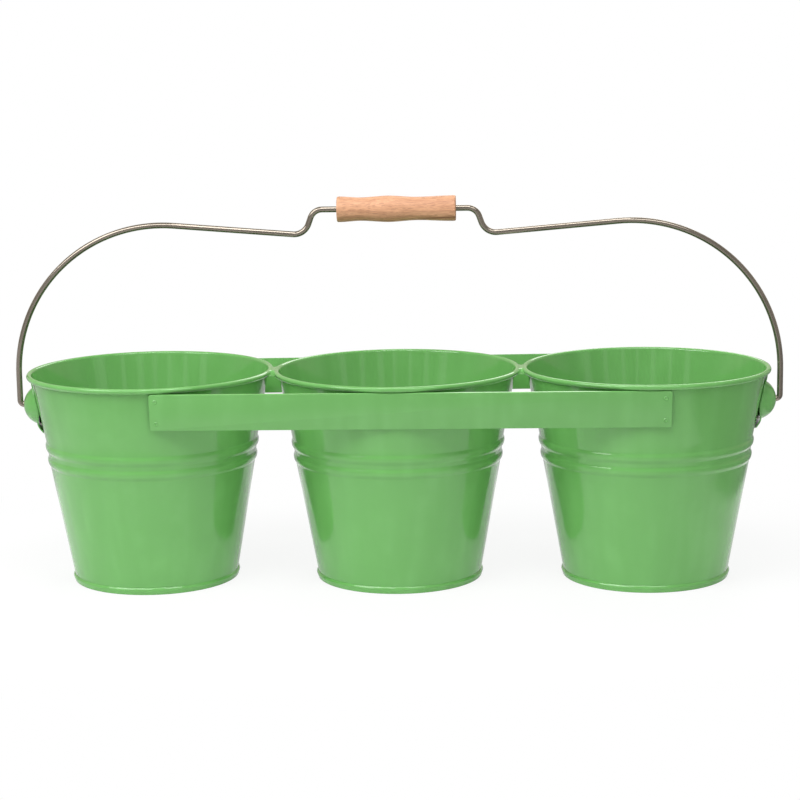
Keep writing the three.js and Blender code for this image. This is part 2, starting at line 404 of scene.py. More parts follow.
class Effects:
    """Shader groups that the finishes share. Each gives values from 0 to 1."""

    cloud_span: Span = (0.3, 0.7)
    speck_edge: Span = (0.0, 0.06)
    edge_span: Span = (0.52, 0.62)

    def __init__(self) -> None:
        """Builds each group once."""
        self.mottle = self.build_mottle()
        self.streaks = self.build_streaks()
        self.specks = self.build_specks()
        self.worn_edges = self.build_worn_edges()

    def build_mottle(self) -> NodeTree:
        """Soft unevenness in all directions."""
        bench, given, results = new_group("mottle")
        cloud = bench.cloud(given["Vector"], given["Scale"], 3.0)["Fac"]
        bench.feed(results, {"Value": bench.ranged(cloud, self.cloud_span)})
        return bench.tree

    def build_streaks(self) -> NodeTree:
        """Streaks along a piece, in a broad and a fine size."""
        bench, given, results = new_group("streaks", ("Fine",), ("Broad", "Fine"))
        finer = bench.math("MULTIPLY", given["Scale"], given["Fine"])
        for name, scale, detail in (("Broad", given["Scale"], 1.0), ("Fine", finer, 2.0)):
            cloud = bench.cloud(given["Vector"], scale, detail)["Fac"]
            bench.feed(results, {name: bench.ranged(cloud, self.cloud_span)})
        return bench.tree

    def build_specks(self) -> NodeTree:
        """Separate small marks, 1 inside a mark and 0 elsewhere."""
        bench, given, results = new_group("specks", ("Size",))
        inputs = {name: given[name] for name in ("Vector", "Scale")}
        cells = bench.add("ShaderNodeTexVoronoi", inputs).outputs
        chosen = bench.math("MULTIPLY", given["Size"], cells["Color"])
        inside = bench.math("SUBTRACT", chosen, cells["Distance"])
        bench.feed(results, {"Value": bench.ranged(inside, self.speck_edge)})
        return bench.tree

    def build_worn_edges(self) -> NodeTree:
        """Outer edges, broken up so that only the proudest spots reach 1."""
        bench, given, results = new_group("worn_edges", ("Amount",))
        bend = bench.add("ShaderNodeNewGeometry").outputs["Pointiness"]
        rough = bench.cloud(given["Vector"], given["Scale"], 4.0)["Fac"]
        least = bench.math("SUBTRACT", 1.0, given["Amount"])
        spots = bench.math("GREATER_THAN", rough, least)
        worn = bench.math("MULTIPLY", bench.ranged(bend, self.edge_span), spots)
        bench.feed(results, {"Value": worn})
        return bench.tree


def new_material(name: str) -> tuple[Material, NodeBench, Node]:
    """Starts a material of that name and returns it with its bench and Principled shader.

    Args:
        name: Its name.

    Returns:
        The material, its bench and its Principled shader.
    """
    material = bpy.data.materials.new(name)
    material.use_nodes = True
    return material, NodeBench(material.node_tree), material.node_tree.nodes["Principled BSDF"]


@dataclass(frozen=True)
class Enamel:
    """Glossy green stoving enamel on sheet steel."""

    effects: Effects
    colour: Colour = (0.143, 0.405, 0.103, 1)
    thin_colour: Colour = (0.162, 0.44, 0.12, 1)
    chip_colour: Colour = (0.05, 0.07, 0.045, 1)
    chip_share: float = 0.25
    roughness: Span = (0.09, 0.13)
    streak_scale: float = 90
    streak_fineness: float = 3.5
    mottle_scale: float = 38
    peel_scale: float = 620
    wear_scale: float = 210
    wear_amount: float = 0.3
    wave_depth: float = 0.1 * MM
    fine_share: float = 0.1
    peel_depth: float = 0.004 * MM
    ior: float = 1.5
    coat: float = 0.2
    coat_roughness: float = 0.04

    def material(self) -> Material:
        """Returns the enamel's material."""
        material, bench, shader = new_material("green_enamel")
        shared, place = self.effects, bench.place()
        fineness = self.streak_fineness
        streaks = bench.group(shared.streaks, bench.flow(), self.streak_scale, Fine=fineness)
        mottle = bench.group(shared.mottle, place, self.mottle_scale)["Value"]
        peel = bench.group(shared.mottle, place, self.peel_scale)["Value"]
        amount = self.wear_amount
        worn = bench.group(shared.worn_edges, place, self.wear_scale, Amount=amount)["Value"]
        thin = bench.math("MULTIPLY", mottle, streaks["Broad"])
        tint = bench.blend(thin, self.colour, self.thin_colour)
        chips = bench.math("MULTIPLY", worn, self.chip_share)
        waves = bench.total((streaks["Broad"], streaks["Fine"]), (1.0, self.fine_share))
        inputs = {
            "Base Color": bench.blend(chips, tint, self.chip_colour),
            "Roughness": bench.ranged(mottle, (0, 1), self.roughness),
            "Normal": bench.bump(peel, self.peel_depth, Normal=bench.bump(waves, self.wave_depth)),
            "Metallic": 0.0,
            "IOR": self.ior,
            "Coat Weight": self.coat,
            "Coat Roughness": self.coat_roughness,
        }
        bench.feed(shader.inputs, inputs)
        return material


@dataclass(frozen=True)
class BareSteel:
    """Drawn steel wire with a thin dull film."""

    effects: Effects
    colour: Colour = (0.3, 0.26, 0.215, 1)
    film_colour: Colour = (0.235, 0.2, 0.16, 1)
    roughness: Span = (0.1, 0.16)
    metallic: float = 0.78
    line_scale: float = 900
    line_fineness: float = 3
    line_depth: float = 0.00008 * MM
    film_scale: float = 45

    def material(self) -> Material:
        """Returns the wire's material."""
        material, bench, shader = new_material("drawn_wire")
        streaks, fineness = self.effects.streaks, self.line_fineness
        lines = bench.group(streaks, bench.flow(), self.line_scale, Fine=fineness)
        film = bench.group(self.effects.mottle, bench.place(), self.film_scale)["Value"]
        shade = bench.math("MULTIPLY", film, lines["Broad"])
        inputs = {
            "Base Color": bench.blend(shade, self.colour, self.film_colour),
            "Roughness": bench.ranged(shade, (0, 1), self.roughness),
            "Normal": bench.bump(lines["Fine"], self.line_depth),
            "Metallic": self.metallic,
        }
        bench.feed(shader.inputs, inputs)
        return material


@dataclass(frozen=True)
class Beech:
    """Sanded, unvarnished beech with its short dark rays and one dark vein."""

    effects: Effects
    centre: Triple
    pale: Colour = (0.77, 0.425, 0.245, 1)
    deep: Colour = (0.5, 0.245, 0.135, 1)
    ray: Colour = (0.34, 0.15, 0.085, 1)
    roughness: Span = (0.46, 0.62)
    specular: float = 0.4
    warp_scale: Triple = (14, 60, 60)
    warp_reach: float = 0.009
    pith_distance: float = 26 * MM
    ring_width: float = 2.6 * MM
    grain_stretch: Triple = (0.11, 1, 1)
    grain_scale: float = 800
    grain_fineness: float = 2.4
    patch_stretch: Triple = (0.3, 1, 1)
    patch_scale: float = 110
    depth_shares: tuple[float, ...] = (0.2, 0.3, 0.4, 0.3)  # rings, broad and fine grain, patches
    ray_stretch: Triple = (0.14, 1, 0.8)
    ray_scale: float = 1900
    ray_size: float = 0.58
    ray_share: float = 0.42
    ray_depth: float = 0.05 * MM
    relief_shares: Span = (0.25, -0.5)  # of fine grain and rays
    vein_share: float = 0.9
    vein_slope: float = 0.03
    vein_height: float = -6.1 * MM
    vein_width: Span = (0.3 * MM, 0.9 * MM)
    vein_start: Span = (11 * MM, 24 * MM)
    vein_front: Span = (-2 * MM, 0)

    def material(self) -> Material:
        """Returns the wood's material."""
        material, bench, shader = new_material("sanded_beech")
        shared = self.effects
        own = bench.mapped(bench.place(), (1, 1, 1), tuple(-value for value in self.centre))
        wood = self.warped(bench, own)
        fineness, size = self.grain_fineness, self.ray_size
        grain_at = bench.mapped(wood, self.grain_stretch)
        grain = bench.group(shared.streaks, grain_at, self.grain_scale, Fine=fineness)
        ray_at = bench.mapped(wood, self.ray_stretch)
        rays = bench.group(shared.specks, ray_at, self.ray_scale, Size=size)["Value"]
        patch_at = bench.mapped(own, self.patch_stretch)
        patches = bench.group(shared.mottle, patch_at, self.patch_scale)["Value"]
        layers = (self.rings(bench, wood), grain["Broad"], grain["Fine"], patches)
        tone = bench.blend(bench.total(layers, self.depth_shares), self.pale, self.deep)
        vein = bench.math("MULTIPLY", self.vein(bench, own), self.vein_share)
        dark = bench.math("MAXIMUM", bench.math("MULTIPLY", rays, self.ray_share), vein)
        relief = bench.total((grain["Fine"], rays), self.relief_shares)
        inputs = {
            "Base Color": bench.blend(dark, tone, self.ray),
            "Roughness": bench.ranged(grain["Fine"], (0, 1), self.roughness),
            "Normal": bench.bump(relief, self.ray_depth),
            "Specular IOR Level": self.specular,
        }
        bench.feed(shader.inputs, inputs)
        return material

    def warped(self, bench: NodeBench, own: NodeSocket) -> NodeSocket:
        """Bends the grip's own coordinates, as wood grows.

        Args:
            bench: The material's bench.
            own: The grip's own coordinates.

        Returns:
            The bent coordinates.
        """
        bent = bench.cloud(bench.mapped(own, self.warp_scale), 1.0, 2.0)["Color"]
        shift = bench.vector("SUBTRACT", {0: bent, 1: (0.5, 0.5, 0.5)})
        shift = bench.vector("SCALE", {0: shift, "Scale": self.warp_reach})
        return bench.vector("ADD", {0: own, 1: shift})

    def rings(self, bench: NodeBench, wood: NodeSocket) -> NodeSocket:
        """Returns the growth rings round a pith that lies beside the grip.

        Args:
            bench: The material's bench.
            wood: The bent coordinates.

        Returns:
            A value from 0 to 1 through each ring.
        """
        pith = (0, self.pith_distance, -self.pith_distance / 3)
        reach = bench.vector("LENGTH", {0: bench.mapped(wood, (0, 1, 1), pith)})
        turn = bench.math("MULTIPLY", reach, 2 * math.pi / self.ring_width)
        return bench.ranged(bench.math("SINE", turn), (-1, 1))

    def vein(self, bench: NodeBench, own: NodeSocket) -> NodeSocket:
        """Returns 1 along the dark vein low on the front, towards the right-hand end.

        Args:
            bench: The material's bench.
            own: The grip's own coordinates.

        Returns:
            The vein's strength, 0 away from it.
        """
        parts = bench.parts(own)
        rise = bench.math("MULTIPLY", parts["X"], self.vein_slope)
        away = bench.math("SUBTRACT", parts["Z"], rise, self.vein_height)
        line = bench.ranged(bench.math("ABSOLUTE", away), self.vein_width, (1, 0))
        reach = bench.ranged(parts["X"], self.vein_start)
        front = bench.ranged(parts["Y"], self.vein_front, (1, 0))
        return bench.math("MULTIPLY", line, reach, front)


@dataclass(frozen=True)
class PotShape:
    """Section of one pot round its own axis. Radii grow outward and heights upward."""

    height: float
    rim_radius: float
    roll_radius: float = 1.6 * MM
    sheet: float = 0.6 * MM
    foot_radius: float = 50.7 * MM
    lower_slope: float = 0.179
    lower_bead: float = 75.2 * MM
    bead_spacing: float = 8.6 * MM
    bead_width: float = 6.7 * MM
    bead_rise: float = 1 * MM
    bead_inset: float = 0.7 * MM
    bead_fullness: float = 1.4
    lip_thickness: float = 0.8 * MM
    lip_height: float = 4.4 * MM
    floor_height: float = 5 * MM
    clearance: float = 0.3 * MM

    @property
    def roll_centre(self) -> Span:
        """Centre of the rolled rim's section."""
        return self.rim_radius - self.roll_radius, self.height - self.roll_radius

    @property
    def wall_top(self) -> float:
        """Radius of the wall's outer face where the roll begins."""
        return self.rim_radius - 2 * self.roll_radius + self.sheet

    @property
    def beads_bottom(self) -> float:
        """Height at which the lower bead begins."""
        return self.lower_bead - self.bead_width / 2

    @property
    def beads_top(self) -> float:
        """Height at which the upper bead ends."""
        return self.lower_bead + self.bead_spacing + self.bead_width / 2

    @property
    def foot_wall_radius(self) -> float:
        """Radius of the wall's outer face on the ground."""
        return self.foot_radius - self.lip_thickness - self.clearance

    @property
    def upper_slope(self) -> float:
        """Growth of the radius with height above the beads."""
        shoulder = self.foot_wall_radius + self.lower_slope * self.beads_top - self.bead_inset
        return (self.wall_top - shoulder) / (self.roll_centre[1] - self.beads_top)

    def plain_radius(self, height: float) -> float:
        """Radius of the wall's outer face, without its beads.

        Args:
            height: Height above the ground.

        Returns:
            The radius.
        """
        if height >= self.beads_top:
            return self.wall_top - self.upper_slope * (self.roll_centre[1] - height)
        rise = max(height - self.beads_bottom, 0) / (self.beads_top - self.beads_bottom)
        return self.foot_wall_radius + self.lower_slope * height - self.bead_inset * rise

    def radius(self, height: float) -> float:
        """Radius of the wall's outer face, with its beads.

        Args:
            height: Height above the ground.

        Returns:
            The radius.
        """
        wall = self.plain_radius(height)
        for middle in (self.lower_bead, self.lower_bead + self.bead_spacing):
            share = abs(height - middle) / (self.bead_width / 2)
            if share < 1:
                bent = math.pi * share ** self.bead_fullness
                wall += self.bead_rise * (1 + math.cos(bent)) / 2
        return wall


@dataclass
class Pot:
    """One pot: a spun sheet wall with a rolled rim, and the base that clasps its foot."""

    name: str
    shape: PotShape
    centre: float
    enamel: Material
    steps: int = 192
    wall_foot: float = 1 * MM
    curl_end: float = -130
    curl_steps: int = 16
    plain_step: float = 6 * MM
    bead_step: float = 0.36 * MM
    wall_wave: float = 0.14 * MM
    wave_pitch: Span = (3.2, 9)  # around and up the wall
    wave_offset: float = 40
    upper_fades: Triple = (12 * MM, 22 * MM, 4 * MM)  # above the beads; below the top, twice
    lower_fades: Span = (24 * MM, 16 * MM)  # above the ground and below the beads
    fold: float = 1.2 * MM
    fold_steps: int = 5
    snug: float = 0.05 * MM
    foot_swell: float = 1.2  # of the lip's half thickness, where it turns up
    lip_swell: Span = (0.9 * MM, 1.6 * MM)  # out from the lip's top and down from it
    bevel_centre: Span = (2.43 * MM, 2.42 * MM)  # in from the lip's top and down from it
    bevel_radius: float = 3.48 * MM
    bevel_turn: Span = (17, 43)
    bevel_steps: int = 8
    lip_edge: float = 0.15 * MM
    lip_wave: float = 0.3 * MM
    lip_wave_pitch: float = 9
    lip_wave_offset: float = 60
    lip_wave_start: float = 0.5 * MM
    flow_turn: float = 3
    flow_reach: float = 0.85
    flow_squeeze: float = 0.04

    def build(self) -> None:
        """Builds and dresses both pieces."""
        for mesh, piece, node in ((self.wall(), "sheet", "wall"), (self.base(), "base", "floor")):
            nodes = (f"{self.name}_pot_{node}",)
            tag = Tag(f"{self.name}_pot_{piece}", Body.PLANTER, Slot.PAINT, nodes)
            store_flow(mesh, self.flow)
            bmesh.ops.translate(mesh, vec=(self.centre, 0, 0), verts=mesh.verts[:])
            tag.apply(mesh, self.enamel)

    def flow(self, place: Vector) -> Vector:
        """Runs the streaks up the wall, the same on both of its faces.

        Args:
            place: A vertex's place, from the pot's own axis.

        Returns:
            Its place in the streak pattern.
        """
        reach = self.shape.rim_radius * self.flow_reach
        inward = min(math.hypot(place.x, place.y) / reach, 1)
        angle = math.atan2(place.y, place.x) + self.centre * self.flow_turn
        up = Vector((0, 0, place.z * self.flow_squeeze + self.centre))
        return around_z(angle) * reach * inward + up

    def wall_heights(self) -> list[float]:
        """Heights of the section's points, from the foot up to the roll's centre."""
        shape = self.shape
        stops = [
            (self.wall_foot, shape.beads_bottom, self.plain_step),
            (shape.beads_bottom, shape.beads_top, self.bead_step),
            (shape.beads_top, shape.roll_centre[1], self.plain_step),
        ]
        heights = []
        for low, high, step in stops:
            count = max(round((high - low) / step), 1)
            heights += [low + (high - low) * index / count for index in range(count)]
        return heights

    def wall(self) -> BMesh:
        """Returns the sheet wall with its beads and its curled rim."""
        shape = self.shape
        outer = [Vector((shape.radius(height), 0, height)) for height in self.wall_heights()]
        inner = [point - Vector((shape.sheet, 0, 0)) for point in outer]
        centre, radius = shape.roll_centre, shape.roll_radius
        hollow = arc(centre, radius - shape.sheet, 180, self.curl_end, self.curl_steps)
        curl = arc(centre, radius, self.curl_end, 180, self.curl_steps)
        mesh = turned(outer + hollow + curl + inner[::-1], (0, 0, 1), self.steps, True)
        for vertex in mesh.verts:
            vertex.co += self.wave(vertex.co)
        return mesh

    def wave(self, place: Vector) -> Vector:
        """Returns the move of a place on the wall by the sheet's slight unevenness.

        Args:
            place: The place, from the pot's own axis.

        Returns:
            The move, straight outward or inward.
        """
        shape = self.shape
        start, fall, end = self.upper_fades
        above = smooth_step(shape.beads_top, shape.beads_top + start, place.z)
        above *= 1 - smooth_step(shape.height - fall, shape.height - end, place.z)
        start, fall = self.lower_fades
        below = smooth_step(shape.lip_height, start, place.z)
        below *= 1 - smooth_step(shape.beads_bottom - fall, shape.beads_bottom, place.z)
        outward = Vector((place.x, place.y, 0)).normalized()
        around, up = self.wave_pitch
        spot = outward * around + Vector((0, 0, place.z * up + self.centre * self.wave_offset))
        return outward * (above + below) * self.wall_wave * noise.noise(spot)

    def base(self) -> BMesh:
        """Returns the raised base whose edge folds down, under and up round the wall."""
        shape, fold, steps, edge = self.shape, self.fold, self.fold_steps, self.lip_edge
        sheet, top, floor = shape.sheet, shape.lip_height, shape.floor_height
        half = shape.lip_thickness / 2
        flange = shape.foot_wall_radius - sheet - shape.clearance
        lip_foot = shape.radius(0) + self.snug
        lip_top = shape.radius(top) + self.snug
        bevel = (lip_top - self.bevel_centre[0], top - self.bevel_centre[1])
        section = [
            Vector((0, 0, floor - sheet)),
            *arc((flange - sheet - fold, floor - sheet - fold), fold, 90, 0, steps),
            *arc((flange - sheet + half / 2, half / 2), half / 2, 180, 270, 3),
            *arc((lip_foot + half * self.foot_swell, half), half, 270, 360, steps),
            Vector((lip_top + self.lip_swell[0], 0, top - self.lip_swell[1])),
            *arc(bevel, self.bevel_radius, *self.bevel_turn, self.bevel_steps),
            *arc((lip_top, top - edge), edge, 60, 90, 2),
            Vector((lip_top, 0, top - 2 * edge)),
            Vector((lip_foot, 0, sheet)),
            Vector((flange, 0, sheet)),
            *arc((flange - fold, floor - fold), fold, 0, 90, steps),
            Vector((0, 0, floor)),
        ]
        mesh = turned(section, (0, 0, 1), self.steps, False)
        for vertex in mesh.verts:
            outward = Vector((vertex.co.x, vertex.co.y, 0))
            if outward.length > lip_foot:
                outward.normalize()
                spot = outward * self.lip_wave_pitch
                spot.z = self.centre * self.lip_wave_offset
                ripple = abs(noise.noise(spot)) * self.lip_wave
                drop = smooth_step(self.lip_wave_start, top, vertex.co.z)
                vertex.co -= (outward / 2 + Vector((0, 0, 1))) * ripple * drop
        return mesh


@dataclass
class RimWeb:
    """Brazed web that fills the groove between two neighbouring rims."""

    side: Side
    shape: PotShape
    centre: float
    enamel: Material
    length: float = 28 * MM
    depth: float = 3.1 * MM
    drop: float = 0.1 * MM
    dish: float = 0.25 * MM
    end_fall: float = 2.6 * MM
    end_start: float = 0.62
    hollow: float = 3 * MM
    bite: float = 0.9 * MM
    waist: float = 0.12
    shortening: float = 0.04
    cuts: int = 19
    flow_scale: float = 0.5

    def build(self) -> None:
        """Builds and dresses the web."""
        mesh = bmesh.new()
        bmesh.ops.create_cube(mesh, size=2)
        bmesh.ops.subdivide_edges(mesh, edges=mesh.edges[:], cuts=self.cuts, use_grid_fill=True)
        for vertex in mesh.verts:
            vertex.co = self.drawn(vertex.co)
        store_flow(mesh, lambda place: place * self.flow_scale)
        bmesh.ops.translate(mesh, vec=(self.centre, 0, 0), verts=mesh.verts[:])
        name = self.side.name.lower()
        tag = Tag(f"{name}_rim_web", Body.PLANTER, Slot.PAINT, (f"{name}_rim_joint",))
        tag.apply(mesh, self.enamel)

    def drawn(self, place: Vector) -> Vector:
        """Draws a point of a cube of side 2 out to the web's shape.

        Args:
            place: The point on the cube.

        Returns:
            Its place on the web.
        """
        curve = 1 - place.x * place.x
        along = place.y * (self.length / 2 - self.hollow * curve * abs(place.y))
        half = self.rim_gap(along) - self.shape.roll_radius + self.bite
        round_off = 1 - self.waist * place.z * place.z
        low = self.shape.height - self.drop - self.depth
        fall = self.end_fall * smooth_step(self.end_start, 1, abs(place.y))
        height = low + (self.depth - self.dish * curve - fall) * (1 + place.z) / 2
        along *= 1 - self.shortening * place.z ** 2
        return Vector((place.x * half * round_off, along, height))

    def rim_gap(self, along: float) -> float:
        """Distance from the web's middle to a rim's centre line."""
        rim = self.shape.roll_centre[0]
        return abs(self.centre) - math.sqrt(rim * rim - along * along)


@dataclass
class Strap:
    """Flat bar across the three pots, with its spot-weld marks."""

    face: Face
    shape: PotShape
    enamel: Material
    tilt: float = 0
    thickness: float = 1.5 * MM
    width: float = 22.3 * MM
    corner: float = 1.5 * MM
    corner_steps: int = 6
    edge: float = 0.25 * MM
    edge_steps: int = 3
    length: float = 302 * MM
    sharp: float = 50
    mark_radius: float = 1.5 * MM
    mark_proud: float = 0.34 * MM
    mark_sunk: float = 0.2 * MM
    mark_inset: Span = (3.6 * MM, 4.4 * MM)
    mark_section: tuple = ((0.4, 0.9), (1, 0.72), (0.6, 0.5), (0.1, 0.25), (0.25, 0))
    mark_spokes: int = 28
    flow_squeeze: float = 0.08

    @property
    def node(self) -> str:
        """The CAD node that the bar replaces."""
        return f"{self.face.name.lower()}_bar"

    def build(self) -> None:
        """Builds and dresses the bar, in the middle of its node's box and up its slope."""
        low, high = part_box(self.node)
        mesh = self.blank()
        across = self.length / 2 - self.mark_inset[0]
        up = self.width / 2 - self.mark_inset[1]
        for end in Side:
            for level in (-1, 1):
                self.add_mark(mesh, Vector((end.value * across, 0, level * up)))
        taper = math.atan(self.shape.upper_slope)
        lean = Matrix.Rotation(-self.face.value * taper, 4, "X")
        slope = Matrix.Rotation(math.radians(self.tilt), 4, "Y")
        turn = Matrix.Identity(4) if self.face is Face.FRONT else Matrix.Rotation(math.pi, 4, "Z")
        bmesh.ops.transform(mesh, matrix=lean @ slope @ turn, verts=mesh.verts[:])
        store_flow(mesh, lambda place: Vector((*place.xy, place.z * self.flow_squeeze)))
        bmesh.ops.translate(mesh, vec=(low + high) / 2, verts=mesh.verts[:])
        tag = Tag(f"{self.face.name.lower()}_strap", Body.PLANTER, Slot.PAINT, (self.node,))
        tag.apply(mesh, self.enamel, sharp=self.sharp)

    def blank(self) -> BMesh:
        """Returns the bar itself about the origin, its front face towards -Y."""
        mesh = bmesh.new()
        bmesh.ops.create_cube(mesh, size=1)
        sizes = (self.length, self.thickness, self.width)
        bmesh.ops.scale(mesh, vec=sizes, verts=mesh.verts[:])
        rounds = ((True, self.corner, self.corner_steps), (False, self.edge, self.edge_steps))
        for through, radius, steps in rounds:
            bmesh.ops.bevel(
                mesh,
                geom=[edge for edge in mesh.edges if self.runs_through(edge) is through],
                offset=radius,
                segments=steps,
                profile=0.5,
                affect="EDGES",
                material=-1,
                clamp_overlap=True,
            )
        return mesh

    def runs_through(self, edge: BMEdge) -> bool:
        """Tells whether an edge runs through the bar's thickness."""
        return abs(edge.verts[0].co.y - edge.verts[1].co.y) > WELD

    def add_mark(self, mesh: BMesh, place: Vector) -> None:
        """Adds a low ring with a sunk middle, where an electrode pressed the bar.

        Args:
            mesh: The bar.
            place: The mark's middle, halfway through the bar.
        """
        radius, proud = self.mark_radius, self.mark_proud
        section = [Vector((-self.mark_sunk, 0, radius))]
        section += [Vector((proud * up, 0, radius * out)) for up, out in self.mark_section]
        ring = turned(section, (1, 0, 0), self.mark_spokes, False)
        out = Matrix.Rotation(-math.pi / 2, 4, "Z")
        seat = Matrix.Translation(place - Vector((0, self.thickness / 2, 0)))
        bmesh.ops.transform(ring, matrix=seat @ out, verts=ring.verts[:])
        loose = baked(ring, "weld_mark")
        mesh.from_mesh(loose)
        bpy.data.meshes.remove(loose)


@dataclass
class Ear:
    """Pressed ear on an outer pot: a plate down the wall, with a dome that holds the wire."""

    side: Side
    shape: PotShape
    pitch: float
    enamel: Material
    hinge_drop: float = 21.2 * MM
    dome_radius: float = 12.6 * MM
    dome_proud: float = 3.6 * MM
    dome_end: float = math.radians(76)
    dome_limit: float = 0.9999
    sheet: float = 0.8 * MM
    half_width: float = 13.2 * MM
    top_drop: float = 2.2 * MM
    upright: Span = (-11.3 * MM, -3.8 * MM)
    tail: float = -18.1 * MM
    hole: float = 2.15 * MM
    blend: float = 1.6 * MM
    soft_bend: float = 0.8 * MM
    lift: float = 0.5 * MM
    lift_reach: float = 6 * MM
    bow: Span = (0.45 * MM, 1.22 * MM)
    bow_start: float = -11 * MM
    spokes: int = 96
    dome_rings: int = 18
    plate_rings: int = 9
    rounding: float = 0.2 * MM
    rounding_steps: int = 2
    rounding_angle: float = math.radians(50)
    flow_scale: Triple = (0.7, 0.5, 0.3)

    @property
    def hinge(self) -> float:
        """Height of the bail's axis."""
        return self.shape.height - self.hinge_drop

    @property
    def crown(self) -> float:
        """X of the dome's crown on the right-hand ear."""
        return self.pitch + self.shape.rim_radius + self.dome_proud

    @property
    def top(self) -> float:
        """Top of the plate, from the bail's axis."""
        return self.shape.height - 2 * self.shape.roll_radius - self.top_drop - self.hinge

    def build(self) -> None:
        """Builds and dresses the ear."""
        mesh = bmesh.new()
        bmesh.ops.create_circle(mesh, cap_ends=False, radius=1, segments=self.spokes)
        front, ring = mesh.edges[:], mesh.verts[:]
        self.place_ring(ring, 0)
        for index in range(self.dome_rings + self.plate_rings):
            ring, front = grown(mesh, front)
            past = index + 1 - self.dome_rings
            reach = (index + 1) / self.dome_rings if past <= 0 else 1 + past / self.plate_rings
            self.place_ring(ring, reach)
        self.press(mesh)
        if self.side is Side.LEFT:
            turn = Matrix.Rotation(math.pi, 3, "Z")
            bmesh.ops.rotate(mesh, cent=(0, 0, 0), matrix=turn, verts=mesh.verts[:])
        store_flow(mesh, lambda place: place.yxz * Vector(self.flow_scale))
        self.turn_outward(mesh)
        name = self.side.name.lower()
        tag = Tag(f"{name}_ear_pressing", Body.PLANTER, Slot.PAINT, (f"{name}_ear",))
        self.thicken(tag.apply(mesh, self.enamel, outward=False))

    def thicken(self, piece: Object) -> None:
        """Gives the open sheet its thickness and rounds its edges.

        Args:
            piece: The ear.
        """
        wall = piece.modifiers.new("sheet", "SOLIDIFY")
        wall.thickness = self.sheet
        wall.offset = -1
        wall.use_even_offset = True
        edges = piece.modifiers.new("edges", "BEVEL")
        edges.width = self.rounding
        edges.segments = self.rounding_steps
        edges.limit_method = "ANGLE"
        edges.angle_limit = self.rounding_angle

    def place_ring(self, ring: list[BMVert], reach: float) -> None:
        """Places one ring of the flat blank, where X runs across and Y up.

        Args:
            ring: Its vertices.
            reach: How far out it is: 0 at the hole, 1 at the dome's edge, 2 at the outline.
        """
        start, end = math.asin(self.hole / self.dome_radius), self.dome_end
        for vertex in ring:
            angle = math.atan2(vertex.co.y, vertex.co.x)
            if reach <= 1:
                distance = self.dome_radius * math.sin(start + (end - start) * reach)
            else:
                inner = self.dome_radius * math.sin(end)
                distance = inner + (self.outline(angle) - inner) * (reach - 1)
            vertex.co = around_z(angle) * distance

    def outline(self, angle: float) -> float:
        """Distance from the axis to the plate's rounded outline.

        Args:
            angle: Direction in radians, from across towards up.

        Returns:
            The distance.
        """
        across, up = math.cos(angle), math.sin(angle)
        width = self.half_width
        level = self.top - width if up > 0 else self.tail + width
        if abs(across) > WELD:
            side = width / abs(across)
            if self.tail + width <= side * up <= self.top - width:
                return side
        return level * up + math.sqrt(width * width - (level * across) ** 2)

    def back(self, level: float) -> float:
        """Radius of the plate's middle line at a height above the axis, with sharp bends.

        Args:
            level: The height.

        Returns:
            The radius from the pot's axis.
        """
        low, high = self.upright
        flat = self.shape.plain_radius(self.hinge + high)
        if level >= high:
            return self.shape.plain_radius(self.hinge + level)
        share = min(max((low - level) / (low - self.tail), 0), 1)
        return flat + (self.shape.plain_radius(self.hinge + self.tail) - flat) * share

    def plate(self, height: float, across: float) -> float:
        """X of the plate's outer face.

        Args:
            height: Height above the axis.
            across: Distance from the plate's middle line.

        Returns:
            The face's X on the right-hand ear.
        """
        spread = [step * self.soft_bend for step in (-2, -1, 0, 1, 2)]
        bent = sum(self.back(height + shift) for shift in spread) / len(spread)
        lifted = self.lift * smooth_step(self.top - self.lift_reach, self.top, height)
        low, high = self.bow
        curve = low + (high - low) * smooth_step(self.bow_start, 0, height)
        stand_off = self.shape.clearance + self.sheet
        return self.pitch + bent + stand_off + lifted - curve * (across / self.half_width) ** 2

    def press(self, mesh: BMesh) -> None:
        """Presses the flat blank: the plate bends and the dome rises, with a fillet between.

        Args:
            mesh: The blank. It becomes the right-hand ear.
        """
        centre, limit = self.crown - self.dome_radius, self.dome_radius * self.dome_limit
        for vertex in mesh.verts:
            across, height = vertex.co.x, vertex.co.y
            distance = min(math.hypot(across, height), limit)
            dome = centre + math.sqrt(self.dome_radius ** 2 - distance ** 2)
            plate = self.plate(height, across)
            gap = min(max(0.5 + 0.5 * (dome - plate) / self.blend, 0), 1)
            depth = plate + (dome - plate) * gap + self.blend * gap * (1 - gap) / 2
            vertex.co = Vector((depth, across, self.hinge + height))

    def turn_outward(self, mesh: BMesh) -> None:
        """Turns the open sheet's faces to look away from the pot.

        Args:
            mesh: The open sheet.
        """
        bmesh.ops.recalc_face_normals(mesh, faces=mesh.faces[:])
        total = sum(face.normal.x * face.calc_area() for face in mesh.faces)
        if total * self.side.value < 0:
            bmesh.ops.reverse_faces(mesh, faces=mesh.faces[:])


